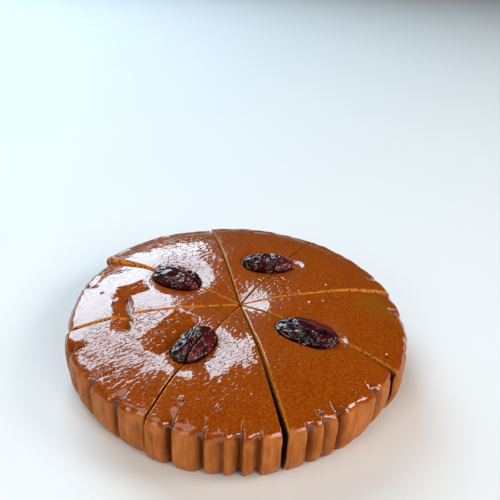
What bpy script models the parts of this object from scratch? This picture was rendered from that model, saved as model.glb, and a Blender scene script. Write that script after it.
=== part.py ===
"""Brown sugar steamed rice cake with dried dates.

A fluted round of steamed cake, 18 cm across, is sliced right through by four knife cuts
into eight wedges that still lie together. Four wrinkled dates are pressed into its top,
each on a cut, so the knife has halved them too. Metres, +Z up. The origin is under the
middle of the cake, on the surface that it rests on.
"""

import math
import random
from collections import namedtuple

import bmesh
import bpy
from mathutils import Matrix, Vector, noise

MM = 0.001

Cut = namedtuple("Cut", "direction rim_gap")
Wedge = namedtuple("Wedge", "out_first out_last up_first up_last")
Flute = namedtuple("Flute", "direction depth top")
Date = namedtuple("Date", "cut centre direction length width height first_rise second_rise")
Dent = namedtuple("Dent", "centre half_length half_width direction depth")

# Round of the cake
CAKE_RADIUS = 90.0 * MM
RIM_HEIGHT = 31.4 * MM
WALL_TOP = 22.0 * MM           # height where the rounded shoulder begins
SHOULDER_WIDTH = 6.0 * MM
EDGE_DROP = 3.0 * MM           # how far the top has fallen where it meets the shoulder
DROP_START = 0.6               # share of the radius where the top begins to fall
BELLY_HEIGHT = 11.0 * MM       # below this the wall curves in to the base
BASE_RADIUS = 86.0 * MM
CROWN = 2.0 * MM               # swell of the top, halfway between middle and rim
MIDDLE_SAG = 1.2 * MM          # the tips of the wedges sag where the cuts meet
MIDDLE_SAG_REACH = 16.0 * MM
OUTLINE_WANDER = 0.5 * MM      # slow unevenness of the rim
TOP_WANDER = 0.5 * MM          # slow unevenness of the top

# The knife cuts meet a little off the centre of the round.
CUT_MEETING_POINT = Vector((1.35 * MM, -0.2 * MM, 0.0))
MIDDLE_GAP = 0.8 * MM          # width of every cut where they meet

# Bounding box centre of the uneven round, seen from the centre of the true circle
BOX_CENTRE = Vector((0.49 * MM, -0.142 * MM, 0.0))

# Each cut: its direction in degrees from +X, and its width at the rim
CUTS = (
    Cut(13.2, 1.2 * MM),
    Cut(58.5, 0.9 * MM),
    Cut(103.5, 1.6 * MM),
    Cut(151.0, 1.3 * MM),
    Cut(194.8, 1.2 * MM),
    Cut(243.4, 1.3 * MM),
    Cut(283.6, 2.8 * MM),
    Cut(328.5, 1.2 * MM),
)

# Each wedge, in turn from its first cut: how far its rim stands out at the first and
# the last cut, and how far its top stands up there
WEDGES = (
    Wedge(-0.6 * MM, -1.3 * MM, 1.0 * MM, 0.2 * MM),
    Wedge(-1.4 * MM, 0.8 * MM, 0.4 * MM, 0.4 * MM),
    Wedge(-0.6 * MM, 1.8 * MM, 0.0 * MM, 2.6 * MM),
    Wedge(-0.2 * MM, -1.6 * MM, -1.4 * MM, 0.9 * MM),
    Wedge(0.6 * MM, -1.3 * MM, -0.5 * MM, 0.2 * MM),
    Wedge(1.2 * MM, 0.2 * MM, 0.2 * MM, -0.2 * MM),
    Wedge(-0.3 * MM, -1.4 * MM, 0.4 * MM, -0.3 * MM),
    Wedge(1.7 * MM, -0.6 * MM, 0.8 * MM, -1.0 * MM),
)

# The flutes in the side that stand out most: direction, depth, and how high they reach
MAIN_FLUTES = (
    Flute(3.0, 2.4 * MM, 29.0 * MM),
    Flute(24.0, 2.8 * MM, 28.0 * MM),
    Flute(170.0, 2.4 * MM, 27.0 * MM),
    Flute(205.0, 3.6 * MM, 27.0 * MM),
    Flute(221.5, 3.0 * MM, 24.0 * MM),
    Flute(233.5, 2.4 * MM, 23.5 * MM),
    Flute(251.5, 3.4 * MM, 25.5 * MM),
    Flute(261.0, 2.6 * MM, 25.5 * MM),
    Flute(266.7, 1.8 * MM, 24.0 * MM),
    Flute(272.0, 2.8 * MM, 25.5 * MM),
    Flute(277.5, 2.4 * MM, 25.5 * MM),
    Flute(290.0, 2.6 * MM, 26.0 * MM),
    Flute(295.5, 1.8 * MM, 26.0 * MM),
    Flute(300.5, 3.4 * MM, 27.0 * MM),
    Flute(317.0, 2.6 * MM, 27.0 * MM),
    Flute(341.0, 2.0 * MM, 25.5 * MM),
)
FLUTE_SPACING = 9.0 * MM       # the flutes between the main ones
FLUTE_DEPTH = 1.6 * MM
FLUTE_TOP = 24.0 * MM
FLUTE_GENTLE_SIDE = 3.0 * MM   # the two flanks of a flute differ, as in a pleated case
FLUTE_STEEP_SIDE = 1.3 * MM
FLUTE_FADE = 2.5 * MM
FLUTE_CLEARANCE = 6.0 * MM     # a smaller flute keeps this far from a main one
SMOOTH_STRETCH = (303.0, 314.0)   # directions where the side has no flutes

# The dates. The cut that halves each is given by its place among the cuts, and the
# centre from the middle of the round. The rise of a half is the share of the full
# height that it stands up to, on the side towards smaller and then larger angles.
DATES = (
    Date(1, (16.6 * MM, 36.5 * MM), -2.0, 29.5 * MM, 16.5 * MM, 13.0 * MM, 0.85, 1.0),
    Date(3, (-34.0 * MM, 18.8 * MM), -24.0, 29.0 * MM, 19.0 * MM, 13.0 * MM, 1.0, 0.95),
    Date(5, (-20.2 * MM, -37.2 * MM), 57.0, 28.0 * MM, 18.0 * MM, 13.0 * MM, 1.0, 0.85),
    Date(7, (34.8 * MM, -24.8 * MM), -23.0, 32.0 * MM, 20.5 * MM, 12.5 * MM, 0.8, 0.6),
)
DATE_SINK = 0.5 * MM           # the middle of a date lies this far below the skin
DATE_CLEARANCE = 0.4 * MM      # the pocket under a date, all round it
DATE_BLUNTNESS = 2.6           # 2 gives a pointed egg, more gives blunter ends
DATE_RIDGES = 7
RIDGE_DEPTH = 0.17             # as a share of the date's own half width
DISH_DEPTH = 1.6 * MM          # the skin is pressed in round each date
DISH_WIDTH = 9.0 * MM

# Dents in the top, seen from the middle of the round
DENTS = (
    Dent((-58.5 * MM, -3.0 * MM), 12.0 * MM, 4.5 * MM, 100.0, 1.8 * MM),
    Dent((-53.0 * MM, 10.0 * MM), 7.0 * MM, 4.0 * MM, 30.0, 1.2 * MM),
    Dent((-56.0 * MM, -21.5 * MM), 7.0 * MM, 5.0 * MM, 70.0, 1.4 * MM),
    Dent((-58.5 * MM, -53.0 * MM), 4.5 * MM, 3.0 * MM, 40.0, 1.8 * MM),
)

DENT_FLOOR = 0.4               # shares of a dent's half size where its slope ends and starts
DENT_BRIM = 1.3

# How finely the solids are faceted
SPIN_STEP_DEGREES = 0.75
TOP_RINGS = 24
SHOULDER_RINGS = 9
WALL_RINGS = 4
WEDGE_TRIANGLES = 1210
DATE_TRIANGLES = 340

SKIN_COLOUR = (0.329, 0.089, 0.008, 1.0)
DATE_COLOUR = (0.045, 0.006, 0.006, 1.0)
SKIN_ROUGHNESS = 0.28
DATE_ROUGHNESS = 0.25
FLUTE_SEED = 7
DATE_SEED = 3.7                # sets the wrinkles of each date apart
POLE_SIZE = 1e-4               # share of a unit ball's radius that counts as its pole
NAME = "brown_sugar_rice_cake"


def clear_scene():
    """Start from an empty scene."""
    for thing in list(bpy.data.objects):
        bpy.data.objects.remove(thing, do_unlink=True)


def make_collection(name):
    """Add a collection to the scene."""
    collection = bpy.data.collections.new(name)
    bpy.context.scene.collection.children.link(collection)
    return collection


def make_material(name, colour, roughness):
    """Make a plain material."""
    material = bpy.data.materials.new(name)
    material.use_nodes = True
    shader = material.node_tree.nodes["Principled BSDF"]
    shader.inputs["Base Color"].default_value = colour
    shader.inputs["Roughness"].default_value = roughness
    shader.inputs["Metallic"].default_value = 0.0
    return material


def smooth_step(low, high, value):
    """Rise from 0 at low to 1 at high, with soft ends."""
    share = min(max((value - low) / (high - low), 0.0), 1.0)
    return share * share * (3.0 - 2.0 * share)


def turn_between(first, second):
    """Signed angle in degrees from the second direction to the first."""
    return (first - second + 180.0) % 360.0 - 180.0


def place_flutes():
    """List every flute round the side: the main ones, and smaller ones between them."""
    draw = random.Random(FLUTE_SEED)
    flutes = list(MAIN_FLUTES)
    step = math.degrees(FLUTE_SPACING / CAKE_RADIUS)
    clearance = math.degrees(FLUTE_CLEARANCE / CAKE_RADIUS)
    direction = 0.0
    while direction < 360.0 - clearance:
        direction += step * draw.uniform(0.8, 1.2)
        depth = FLUTE_DEPTH * draw.uniform(0.4, 1.3)
        top = FLUTE_TOP * draw.uniform(0.85, 1.05)
        smooth = SMOOTH_STRETCH[0] < direction < SMOOTH_STRETCH[1]
        crowded = any(abs(turn_between(direction, main.direction)) < clearance for main in MAIN_FLUTES)
        if not smooth and not crowded:
            flutes.append(Flute(direction, depth, top))
    return flutes


FLUTES = place_flutes()


def flute_depth(direction, height):
    """How far the flutes pull the side in, at a direction and a height."""
    depth = 0.0
    for flute in FLUTES:
        along = math.radians(turn_between(direction, flute.direction)) * CAKE_RADIUS
        if abs(along) > 4.0 * FLUTE_GENTLE_SIDE:
            continue
        side = FLUTE_GENTLE_SIDE if along < 0.0 else FLUTE_STEEP_SIDE
        reach = 1.0 - smooth_step(flute.top - FLUTE_FADE, flute.top + FLUTE_FADE, height)
        depth = max(depth, flute.depth * reach * math.exp(-(along / side) ** 2))
    return depth


def dish_depth(x, y):
    """How far the top is pressed in round the dates."""
    depth = 0.0
    for date in DATES:
        away = math.hypot(x - date.centre[0], y - date.centre[1]) - date.length / 4.0
        depth += DISH_DEPTH * math.exp(-(max(away, 0.0) / DISH_WIDTH) ** 2)
    return depth


def dent_depth(x, y):
    """How far the dents in the top go in."""
    depth = 0.0
    for dent in DENTS:
        offset = Vector((x - dent.centre[0], y - dent.centre[1]))
        turned = Matrix.Rotation(-math.radians(dent.direction), 2) @ offset
        away = math.hypot(turned.x / dent.half_length, turned.y / dent.half_width)
        depth += dent.depth * (1.0 - smooth_step(DENT_FLOOR, DENT_BRIM, away))
    return depth


def half_section():
    """Points of the round's profile from the middle of the top, over the rim, to the
    middle of the base: distance from the axis and height."""
    points = []
    flat = CAKE_RADIUS - SHOULDER_WIDTH
    edge_height = RIM_HEIGHT - EDGE_DROP
    for ring in range(TOP_RINGS):
        radius = flat * ring / TOP_RINGS
        fallen = max(radius / flat - DROP_START, 0.0) / (1.0 - DROP_START)
        points.append((radius, RIM_HEIGHT - EDGE_DROP * fallen ** 2))
    for ring in range(SHOULDER_RINGS + 1):
        turn = math.pi / 2.0 * (1.0 - ring / SHOULDER_RINGS)
        radius = flat + SHOULDER_WIDTH * math.cos(turn)
        points.append((radius, WALL_TOP + (edge_height - WALL_TOP) * math.sin(turn)))
    points.append((CAKE_RADIUS, BELLY_HEIGHT))
    for ring in range(1, WALL_RINGS + 1):
        share = ring / WALL_RINGS
        inward = (CAKE_RADIUS - BASE_RADIUS) * share ** 2
        points.append((CAKE_RADIUS - inward, BELLY_HEIGHT * (1.0 - share)))
    points.append((0.0, 0.0))
    return points


def rim_from_meeting_point(direction):
    """Distance from where the cuts meet to the true circle of the rim."""
    heading = Vector((math.cos(direction), math.sin(direction), 0.0))
    return CAKE_RADIUS - CUT_MEETING_POINT.dot(heading)


def cake_height(x, y, share):
    """Height that the top adds to a level rim, at a place and its share of the radius."""
    crown = CROWN * math.sin(math.pi * min(share / 0.9, 1.0))
    sag = MIDDLE_SAG * math.exp(-(share * CAKE_RADIUS / MIDDLE_SAG_REACH) ** 2)
    wander = TOP_WANDER * noise.noise(Vector((x, y, 0.0)) / 0.03)
    return crown + wander - sag - dish_depth(x, y) - dent_depth(x, y)


def shape_wedge(vertex, first, last, wedge):
    """Move a point of the plain turned round to its place on the uneven cake."""
    radius = math.hypot(vertex.co.x, vertex.co.y)
    direction = math.degrees(math.atan2(vertex.co.y, vertex.co.x))
    across = turn_between(direction, first) / (last - first)
    share = radius / CAKE_RADIUS
    level = vertex.co.z / RIM_HEIGHT

    heading = math.radians(direction)
    circle = rim_from_meeting_point(heading)
    wander = OUTLINE_WANDER * noise.noise(Vector((math.cos(heading), math.sin(heading), 0.5)) * 2.5)
    stand_out = wedge.out_first + (wedge.out_last - wedge.out_first) * across
    rim = circle + (wander + stand_out) * share ** 2
    pulled_in = flute_depth(direction, vertex.co.z) * smooth_step(0.84, 0.95, share)
    radius = rim * share - pulled_in
    x = radius * math.cos(heading) + CUT_MEETING_POINT.x
    y = radius * math.sin(heading) + CUT_MEETING_POINT.y
    stand_up = wedge.up_first + (wedge.up_last - wedge.up_first) * across
    z = vertex.co.z + (cake_height(x, y, share) + stand_up * share ** 3) * level
    vertex.co = Vector((x, y, z)) - BOX_CENTRE


def cut_plane(index, side):
    """Point on, and normal of, one face of a cut. The side is 1 for the face towards
    larger angles and -1 for the other, and the normal points away from the cut."""
    cut = CUTS[index % len(CUTS)]
    spread = math.asin((cut.rim_gap - MIDDLE_GAP) / 2.0 / CAKE_RADIUS)
    heading = math.radians(cut.direction) + side * spread
    normal = side * Vector((-math.sin(heading), math.cos(heading), 0.0))
    point = CUT_MEETING_POINT - BOX_CENTRE + normal * MIDDLE_GAP / 2.0
    return point, normal


def slice_mesh(mesh, point, normal):
    """Keep what lies on the normal's side of a plane, and close the cut."""
    everything = mesh.verts[:] + mesh.edges[:] + mesh.faces[:]
    bmesh.ops.bisect_plane(
        mesh, geom=everything, dist=1e-6, plane_co=point, plane_no=normal, clear_inner=True)
    open_edges = [edge for edge in mesh.edges if edge.is_boundary]
    bmesh.ops.holes_fill(mesh, edges=open_edges, sides=0)


def finish_object(name, mesh, material, collection, triangles):
    """Turn a bmesh into an object of about a given number of triangles."""
    bmesh.ops.triangulate(mesh, faces=mesh.faces[:])
    bmesh.ops.recalc_face_normals(mesh, faces=mesh.faces[:])
    data = bpy.data.meshes.new(name)
    mesh.to_mesh(data)
    mesh.free()
    data.materials.append(material)
    made = bpy.data.objects.new(name, data)
    collection.objects.link(made)
    thin = made.modifiers.new("facets", "DECIMATE")
    thin.use_collapse_triangulate = True
    thin.ratio = min(1.0, triangles / len(data.polygons))
    return made


def make_wedge(number, material, collection):
    """Turn, shape and cut one wedge of the cake."""
    first = CUTS[number].direction
    last = CUTS[(number + 1) % len(CUTS)].direction
    if last < first:
        last += 360.0
    mesh = bmesh.new()
    section = [mesh.verts.new((radius, 0.0, height)) for radius, height in half_section()]
    for upper, lower in zip(section, section[1:]):
        mesh.edges.new((upper, lower))
    bmesh.ops.rotate(
        mesh, verts=mesh.verts[:], cent=(0.0, 0.0, 0.0),
        matrix=Matrix.Rotation(math.radians(first), 3, "Z"))
    bmesh.ops.spin(
        mesh, geom=mesh.verts[:] + mesh.edges[:], cent=(0.0, 0.0, 0.0), axis=(0.0, 0.0, 1.0),
        angle=math.radians(last - first), steps=round((last - first) / SPIN_STEP_DEGREES))
    bmesh.ops.remove_doubles(mesh, verts=mesh.verts[:], dist=1e-6)
    for vertex in mesh.verts:
        shape_wedge(vertex, first, last, WEDGES[number])
    slice_mesh(mesh, *cut_plane(number, 1))
    slice_mesh(mesh, *cut_plane(number + 1, -1))
    return finish_object(f"wedge_{number + 1}", mesh, material, collection, WEDGE_TRIANGLES)


def date_wrinkle(along, turn, seed):
    """Share of its radius that a date's skin sinks at a place along it and round it."""
    meander = 0.5 * noise.noise(Vector((along * 1.6, seed, 0.0)))
    ridge = abs(math.sin((turn / 2.0 + meander) * DATE_RIDGES))
    crease = 1.0 - ridge ** 0.7
    spot = Vector((along * 2.2, math.cos(turn) * 1.2 + seed, math.sin(turn) * 1.2))
    return RIDGE_DEPTH * (0.75 * crease + 0.25 * (0.5 + 0.5 * noise.noise(spot)))


def place_date(mesh, date):
    """Turn a date to its direction and set it in the top of the cake."""
    share = math.hypot(*date.centre) / CAKE_RADIUS
    height = RIM_HEIGHT + cake_height(*date.centre, share) + DISH_DEPTH - DATE_SINK
    turn = Matrix.Rotation(math.radians(date.direction), 3, "Z")
    bmesh.ops.rotate(mesh, verts=mesh.verts[:], cent=(0.0, 0.0, 0.0), matrix=turn)
    bmesh.ops.translate(mesh, verts=mesh.verts[:], vec=Vector((*date.centre, height)) - BOX_CENTRE)


def date_ball(date, grow):
    """A smooth date, blunt at its ends, with its length along X."""
    mesh = bmesh.new()
    bmesh.ops.create_uvsphere(mesh, u_segments=48, v_segments=32, radius=1.0)
    bmesh.ops.rotate(
        mesh, verts=mesh.verts[:], cent=(0.0, 0.0, 0.0), matrix=Matrix.Rotation(math.pi / 2.0, 3, "Y"))
    half = Vector((date.length / 2.0 + grow, date.width / 2.0 + grow, date.height / 2.0 + grow))
    for vertex in mesh.verts:
        along = vertex.co.x
        circle = math.hypot(vertex.co.y, vertex.co.z)
        girth = 0.0
        if circle > POLE_SIZE:
            girth = max(1.0 - abs(along) ** DATE_BLUNTNESS, 0.0) ** 0.5 / circle
        vertex.co = Vector((along * half.x, vertex.co.y * girth * half.y, vertex.co.z * girth * half.z))
    return mesh


def make_date_half(number, side, material, collection):
    """One half of a wrinkled date, cut off flush with the knife cut."""
    date = DATES[number]
    rise = date.second_rise if side > 0 else date.first_rise
    mesh = date_ball(date, 0.0)
    for vertex in mesh.verts:
        along = vertex.co.x / date.length * 2.0
        turn = math.atan2(vertex.co.z, vertex.co.y)
        sink = 1.0 - date_wrinkle(along, turn, DATE_SEED * number)
        vertex.co.y *= sink
        vertex.co.z *= sink * (rise if vertex.co.z > 0.0 else 1.0)
    place_date(mesh, date)
    slice_mesh(mesh, *cut_plane(date.cut, side))
    half = "second" if side > 0 else "first"
    return finish_object(f"date_{number + 1}_{half}", mesh, material, collection, DATE_TRIANGLES)


def make_pocket(number, collection):
    """The hollow that a date presses into the cake, as a cutter."""
    mesh = date_ball(DATES[number], DATE_CLEARANCE)
    place_date(mesh, DATES[number])
    data = bpy.data.meshes.new(f"pocket_{number + 1}")
    mesh.to_mesh(data)
    mesh.free()
    pocket = bpy.data.objects.new(f"pocket_{number + 1}", data)
    pocket.hide_render = True
    pocket.display_type = "WIRE"
    collection.objects.link(pocket)
    return pocket


def sink_pocket(wedge, pocket):
    """Cut a date's pocket out of a wedge, before the wedge is thinned to its facets."""
    hollow = wedge.modifiers.new("date pocket", "BOOLEAN")
    hollow.operation = "DIFFERENCE"
    hollow.solver = "EXACT"
    hollow.object = pocket
    wedge.modifiers.move(len(wedge.modifiers) - 1, 0)


def main():
    """Build the cake."""
    clear_scene()
    parts = make_collection(NAME)
    cutters = make_collection("cutters")
    skin = make_material("steamed_cake", SKIN_COLOUR, SKIN_ROUGHNESS)
    date_skin = make_material("dried_date", DATE_COLOUR, DATE_ROUGHNESS)
    wedges = [make_wedge(number, skin, parts) for number in range(len(WEDGES))]
    for number, date in enumerate(DATES):
        pocket = make_pocket(number, cutters)
        for neighbour in (date.cut - 1, date.cut):
            sink_pocket(wedges[neighbour % len(wedges)], pocket)
        make_date_half(number, -1, date_skin, parts)
        make_date_half(number, 1, date_skin, parts)


main()
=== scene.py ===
"""Looks of the brown sugar steamed rice cake with dried dates.

The glossy caramel skin, the pleated side, the crumb in the knife cuts and the wrinkled
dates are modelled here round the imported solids, at the same sizes and places. Metres,
+Z up, with the origin under the middle of the cake.
"""

import math
import random
from collections import namedtuple

import bmesh
import bpy
from mathutils import Matrix, Vector, noise


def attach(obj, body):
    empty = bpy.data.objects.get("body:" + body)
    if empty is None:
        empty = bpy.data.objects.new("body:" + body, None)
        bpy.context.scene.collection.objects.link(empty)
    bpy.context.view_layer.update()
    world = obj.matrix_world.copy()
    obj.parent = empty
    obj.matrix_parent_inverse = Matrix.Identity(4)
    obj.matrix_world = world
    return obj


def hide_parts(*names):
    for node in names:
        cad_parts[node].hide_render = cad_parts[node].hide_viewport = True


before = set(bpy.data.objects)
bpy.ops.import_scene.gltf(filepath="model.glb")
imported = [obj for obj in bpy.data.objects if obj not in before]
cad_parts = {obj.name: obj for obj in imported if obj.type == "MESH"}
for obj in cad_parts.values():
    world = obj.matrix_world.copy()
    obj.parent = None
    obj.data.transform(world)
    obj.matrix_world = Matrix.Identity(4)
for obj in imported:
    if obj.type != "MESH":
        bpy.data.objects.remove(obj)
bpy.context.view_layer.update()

MM = 0.001

Cut = namedtuple("Cut", "direction rim_gap")
Wedge = namedtuple("Wedge", "out_first out_last up_first up_last")
Flute = namedtuple("Flute", "direction depth top")
Date = namedtuple(
    "Date", "cut centre direction length width height first_rise second_rise first_red second_red")
Fold = namedtuple("Fold", "centre half_length half_width direction depth")
Pit = namedtuple("Pit", "centre radius depth lip")
Pucker = namedtuple("Pucker", "centre reach strength")
Ring = namedtuple("Ring", "radius height tilt")
Edge = namedtuple("Edge", "rounding glow light")
Column = namedtuple("Column", "across first_side last_side circle stand_out stand_up flutes edge")
Wrinkle = namedtuple("Wrinkle", "fineness sharpness depth")

# Round of the cake, as in the solids
CAKE_RADIUS = 90.0 * MM
RIM_HEIGHT = 31.4 * MM
WALL_TOP = 22.0 * MM
SHOULDER_WIDTH = 6.0 * MM
EDGE_DROP = 3.0 * MM
DROP_START = 0.6               # share of the flat top's radius where it starts to fall
BELLY_HEIGHT = 11.0 * MM
BASE_RADIUS = 86.0 * MM
CROWN = 2.0 * MM
CROWN_END = 0.9                # share of the radius where the crown has come down again
MIDDLE_SAG = 1.2 * MM
MIDDLE_SAG_REACH = 16.0 * MM
OUTLINE_WANDER = 0.5 * MM
OUTLINE_WANDER_FINENESS = 2.5
OUTLINE_WANDER_SHIFT = Vector((0.0, 0.0, 0.5))
TOP_WANDER = 0.5 * MM
TOP_WANDER_SIZE = 30.0 * MM
CUT_MEETING_POINT = Vector((1.35 * MM, -0.2 * MM, 0.0))
MIDDLE_GAP = 0.8 * MM
BOX_CENTRE = Vector((0.49 * MM, -0.142 * MM, 0.0))

# Each cut: its direction in degrees from +X, and its width at the rim
CUTS = (
    Cut(13.2, 1.2 * MM),
    Cut(58.5, 0.9 * MM),
    Cut(103.5, 1.6 * MM),
    Cut(151.0, 1.3 * MM),
    Cut(194.8, 1.2 * MM),
    Cut(243.4, 1.3 * MM),
    Cut(283.6, 2.8 * MM),
    Cut(328.5, 1.2 * MM),
)

# How far each wedge's rim stands out, and its top up, at its first and its last cut
WEDGES = (
    Wedge(-0.6 * MM, -1.3 * MM, 1.0 * MM, 0.2 * MM),
    Wedge(-1.4 * MM, 0.8 * MM, 0.4 * MM, 0.4 * MM),
    Wedge(-0.6 * MM, 1.8 * MM, 0.0 * MM, 2.6 * MM),
    Wedge(-0.2 * MM, -1.6 * MM, -1.4 * MM, 0.9 * MM),
    Wedge(0.6 * MM, -1.3 * MM, -0.5 * MM, 0.2 * MM),
    Wedge(0.6 * MM, 0.2 * MM, 0.2 * MM, -0.2 * MM),
    Wedge(-0.3 * MM, -1.4 * MM, 0.4 * MM, -0.3 * MM),
    Wedge(0.9 * MM, -0.6 * MM, 0.8 * MM, -1.0 * MM),
)

# Flutes of the side: direction, depth, and the height that they run out at
MAIN_FLUTES = (
    Flute(3.0, 3.1 * MM, 29.0 * MM),
    Flute(24.0, 3.6 * MM, 28.0 * MM),
    Flute(170.0, 3.1 * MM, 28.5 * MM),
    Flute(205.0, 4.7 * MM, 29.0 * MM),
    Flute(221.5, 4.2 * MM, 29.0 * MM),
    Flute(233.5, 3.8 * MM, 28.5 * MM),
    Flute(251.5, 4.4 * MM, 28.5 * MM),
    Flute(261.0, 3.4 * MM, 27.5 * MM),
    Flute(266.7, 2.3 * MM, 25.5 * MM),
    Flute(272.0, 3.6 * MM, 28.0 * MM),
    Flute(277.5, 3.1 * MM, 27.0 * MM),
    Flute(290.0, 3.4 * MM, 27.5 * MM),
    Flute(295.5, 2.3 * MM, 27.5 * MM),
    Flute(300.5, 4.4 * MM, 29.0 * MM),
    Flute(317.0, 3.4 * MM, 28.5 * MM),
    Flute(341.0, 2.6 * MM, 25.5 * MM),
)

# Smaller flutes between the main ones, and the shares of each size that are drawn
FLUTE_SPACING = 9.0 * MM
SPACING_DRAW = (0.8, 1.2)
FLUTE_DEPTH = 1.6 * MM
DEPTH_DRAW = (0.4, 1.3)
FLUTE_TOP = 24.0 * MM
TOP_DRAW = (0.85, 1.05)
FLUTE_CLEARANCE = 6.0 * MM
SMOOTH_STRETCH = (303.0, 314.0)   # directions where the side has no flutes
FLUTE_SEED = 7

# The steep side of a flute is its right one up to FLUTES_TURN_AT, and its left one after it
FLUTE_GENTLE_SIDE = 3.4 * MM
FLUTE_STEEP_SIDE = 0.6 * MM
FLUTES_TURN_AT = 288.0
FLUTE_REACH = 3.0              # a flute is felt this many times its side's width away
FLUTE_FADE = 2.5 * MM
FLUTE_START = 0.86             # shares of the radius where the flutes start and are full
FLUTE_FULL = 0.96
LUMP_SIZE = 6.0 * MM
LUMP_DEPTH = 1.3 * MM
LUMP_TALLNESS = 0.6            # how much of the height counts, so that lumps stand upright

# Dates: the cut that halves each, centre, direction, length, width, height, how much of
# the height each half rises to, and how red and smooth each half is
DATES = (
    Date(1, (16.6 * MM, 36.5 * MM), -2.0, 29.5 * MM, 16.5 * MM, 13.0 * MM, 0.85, 1.0, 0.8, 0.2),
    Date(3, (-34.0 * MM, 18.8 * MM), -24.0, 29.0 * MM, 19.0 * MM, 13.0 * MM, 1.0, 0.95, 0.3, 0.5),
    Date(5, (-20.2 * MM, -37.2 * MM), 57.0, 28.0 * MM, 18.0 * MM, 13.0 * MM, 1.0, 0.85, 0.0, 0.9),
    Date(7, (34.8 * MM, -24.8 * MM), -23.0, 32.0 * MM, 20.5 * MM, 12.5 * MM, 0.8, 0.6, 0.0, 0.9),
)
DATE_SINK = 0.5 * MM
DATE_BLUNTNESS = 2.6
DISH_DEPTH = 1.6 * MM
DISH_WIDTH = 9.0 * MM
DISH_REACH = 4.0
DATE_SEED = 3.7
POLE_SIZE = 1e-4

# Wrinkles of a date, as shares of its radius
PLUMP_CELLS = Wrinkle(1.45, 2.6, 0.26)
LONG_FOLDS = Wrinkle(1.2, 8.0, 0.12)
SMALL_CREASES = Wrinkle(2.4, 7.0, 0.04)
LONG_FOLD_SHIFT = Vector((5.0, 0.0, 0.0))
WRINKLE_STRETCH = 1.3
WRINKLE_BEND = 0.45
WRINKLE_BEND_FINENESS = 1.3
SMOOTH_SHARE = 0.5             # how much of its wrinkles a smooth half loses

# Folds pressed into the top: the floor slopes down towards one long side, which is steep.
# The direction is the one that the floor falls in.
FOLDS = (
    Fold((-58.5 * MM, -11.5 * MM), 15.5 * MM, 4.8 * MM, 10.0, 4.4 * MM),
    Fold((-56.5 * MM, 7.5 * MM), 7.5 * MM, 5.0 * MM, -65.0, 3.4 * MM),
    Fold((-58.5 * MM, -53.0 * MM), 3.0 * MM, 2.2 * MM, -50.0, 1.5 * MM),
    Fold((-32.0 * MM, -28.0 * MM), 15.0 * MM, 7.0 * MM, -33.0, 2.8 * MM),
)
FOLD_STEEPNESS = 0.12          # share of a fold's half width that its steep side takes
FOLD_BRIM = 1.1                # where the steep side is level with the skin, in half widths
FOLD_RAMP_START = -1.2         # where the floor starts to fall, in half widths
FOLD_RAMP_LENGTH = 2.2
FOLD_BOW = 0.25                # how far the ends of a fold bend back, in half widths
FOLD_ENDS = (0.8, 1.2)         # where its ends run out, in half lengths
FOLD_REACH = 1.3
FOLD_WOBBLE = 1.2 * MM
FOLD_WOBBLE_SIZE = 5.0 * MM
SMOOTH_IN_FOLD = (0.8 * MM, 2.4 * MM)   # depths where puckers fade and are gone

# Burst bubbles: centre, radius, depth, and how far the skin stands up round them. One
# with a depth below zero hasn't burst. The wide ones are dents and swells of the top.
PITS = (
    Pit((-22.5 * MM, -71.6 * MM), 1.1 * MM, 1.5 * MM, 0.5 * MM),
    Pit((-6.5 * MM, -75.2 * MM), 0.9 * MM, 1.2 * MM, 0.4 * MM),
    Pit((-10.9 * MM, -85.0 * MM), 0.6 * MM, 0.6 * MM, 0.15 * MM),
    Pit((-6.4 * MM, -85.0 * MM), 0.6 * MM, 0.6 * MM, 0.15 * MM),
    Pit((-73.0 * MM, 6.1 * MM), 1.0 * MM, 0.6 * MM, 0.1 * MM),
    Pit((37.6 * MM, -74.0 * MM), 1.3 * MM, 1.0 * MM, 0.35 * MM),
    Pit((53.7 * MM, -61.0 * MM), 1.1 * MM, 0.5 * MM, 0.05 * MM),
    Pit((73.4 * MM, -36.9 * MM), 1.8 * MM, 0.6 * MM, 0.05 * MM),
    Pit((-47.8 * MM, 57.2 * MM), 1.4 * MM, -0.6 * MM, 0.0 * MM),
    Pit((20.0 * MM, -42.0 * MM), 20.0 * MM, -1.0 * MM, 0.0 * MM),
    Pit((-16.0 * MM, -44.0 * MM), 16.0 * MM, 0.9 * MM, 0.0 * MM),
    Pit((-27.0 * MM, -57.0 * MM), 15.0 * MM, -0.7 * MM, 0.0 * MM),
    Pit((32.0 * MM, 36.5 * MM), 6.0 * MM, 0.6 * MM, 0.0 * MM),
    Pit((49.0 * MM, -30.5 * MM), 6.0 * MM, 0.7 * MM, 0.0 * MM),
    Pit((39.0 * MM, 0.1 * MM), 1.6 * MM, -0.45 * MM, 0.0 * MM),
    Pit((49.3 * MM, 17.0 * MM), 1.3 * MM, -0.4 * MM, 0.0 * MM),
    Pit((46.0 * MM, 2.0 * MM), 1.0 * MM, -0.3 * MM, 0.0 * MM),
    Pit((30.0 * MM, -50.0 * MM), 1.0 * MM, -0.25 * MM, 0.0 * MM),
    Pit((44.0 * MM, -58.0 * MM), 1.0 * MM, -0.25 * MM, 0.0 * MM),
    Pit((-6.0 * MM, -62.0 * MM), 1.2 * MM, -0.3 * MM, 0.0 * MM),
    Pit((8.0 * MM, -68.0 * MM), 1.0 * MM, -0.25 * MM, 0.0 * MM),
)

# Shape of a bubble, in shares of its radius
PIT_WALL = (0.5, 1.1)
PIT_LIP_PLACE = 1.4
PIT_LIP_WIDTH = 0.4
PIT_REACH = 2.4

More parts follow.
